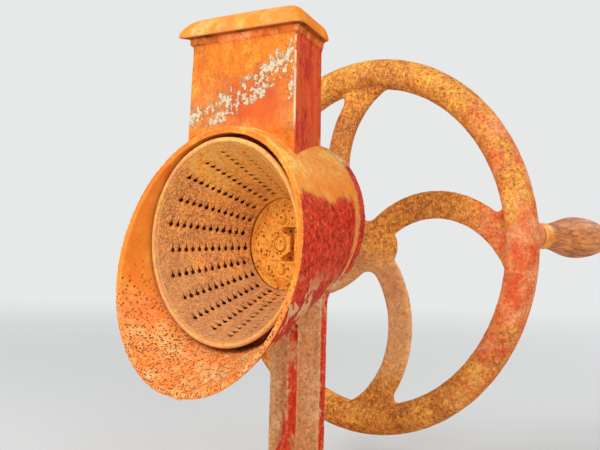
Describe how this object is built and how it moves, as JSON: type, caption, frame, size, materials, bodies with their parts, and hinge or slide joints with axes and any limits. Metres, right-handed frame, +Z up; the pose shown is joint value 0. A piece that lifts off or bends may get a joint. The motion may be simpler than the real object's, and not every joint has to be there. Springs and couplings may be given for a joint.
{
  "type": "rotary cabbage shredder",
  "caption": "Hand-cranked rotary shredder: punched steel cone in a cast housing with top hopper and spout lip, on a ribbed stand, turned by a spoked hand wheel with a wooden grip.",
  "frame": {"origin": "centre of the foot's four bolt holes, on the foot's underside", "axes": "+Z up; +Y along the shaft from the cone's mouth towards the hand wheel; +X to the right when facing the mouth"},
  "size_m": [0.3138, 0.3438, 0.3539],
  "materials": {
    "painted_iron": "worn red paint over rust",
    "cast_iron": "rusted, pitted",
    "sheet_steel": "rust speckled",
    "steel": "rusted",
    "bronze": "dull",
    "ferrule": "worn",
    "wood": "bare, worn"
  },
  "bodies": {
    "frame": {"stand": "painted_iron", "housing": "painted_iron", "housing_screws": "steel", "screw_washers": "steel", "front_bush": "bronze", "rear_bush": "bronze"},
    "rotor": {"shaft": "steel", "grater_cone": "sheet_steel", "cone_bead": "sheet_steel", "end_disc": "sheet_steel", "drive_hub": "cast_iron", "hub_rivets": "steel", "nut_washer": "steel", "cone_nut": "steel", "hand_wheel": "cast_iron", "wheel_key": "steel", "wheel_washer": "steel", "wheel_nut": "steel", "handle_spindle": "steel", "grip_washer": "steel", "spindle_nut": "steel"},
    "grip": {"handle_grip": "wood", "grip_ferrule": "ferrule"}
  },
  "joints": [
    {"name": "crank_turn", "type": "hinge", "parent": "frame", "child": "rotor", "pos_m": [0, 0, 0.185], "axis": [0, 1, 0], "continuous": true},
    {"name": "grip_spin", "type": "hinge", "parent": "rotor", "child": "grip", "pos_m": [0.14206, 0, 0.19618], "axis": [0, 1, 0], "continuous": true}
  ]
}
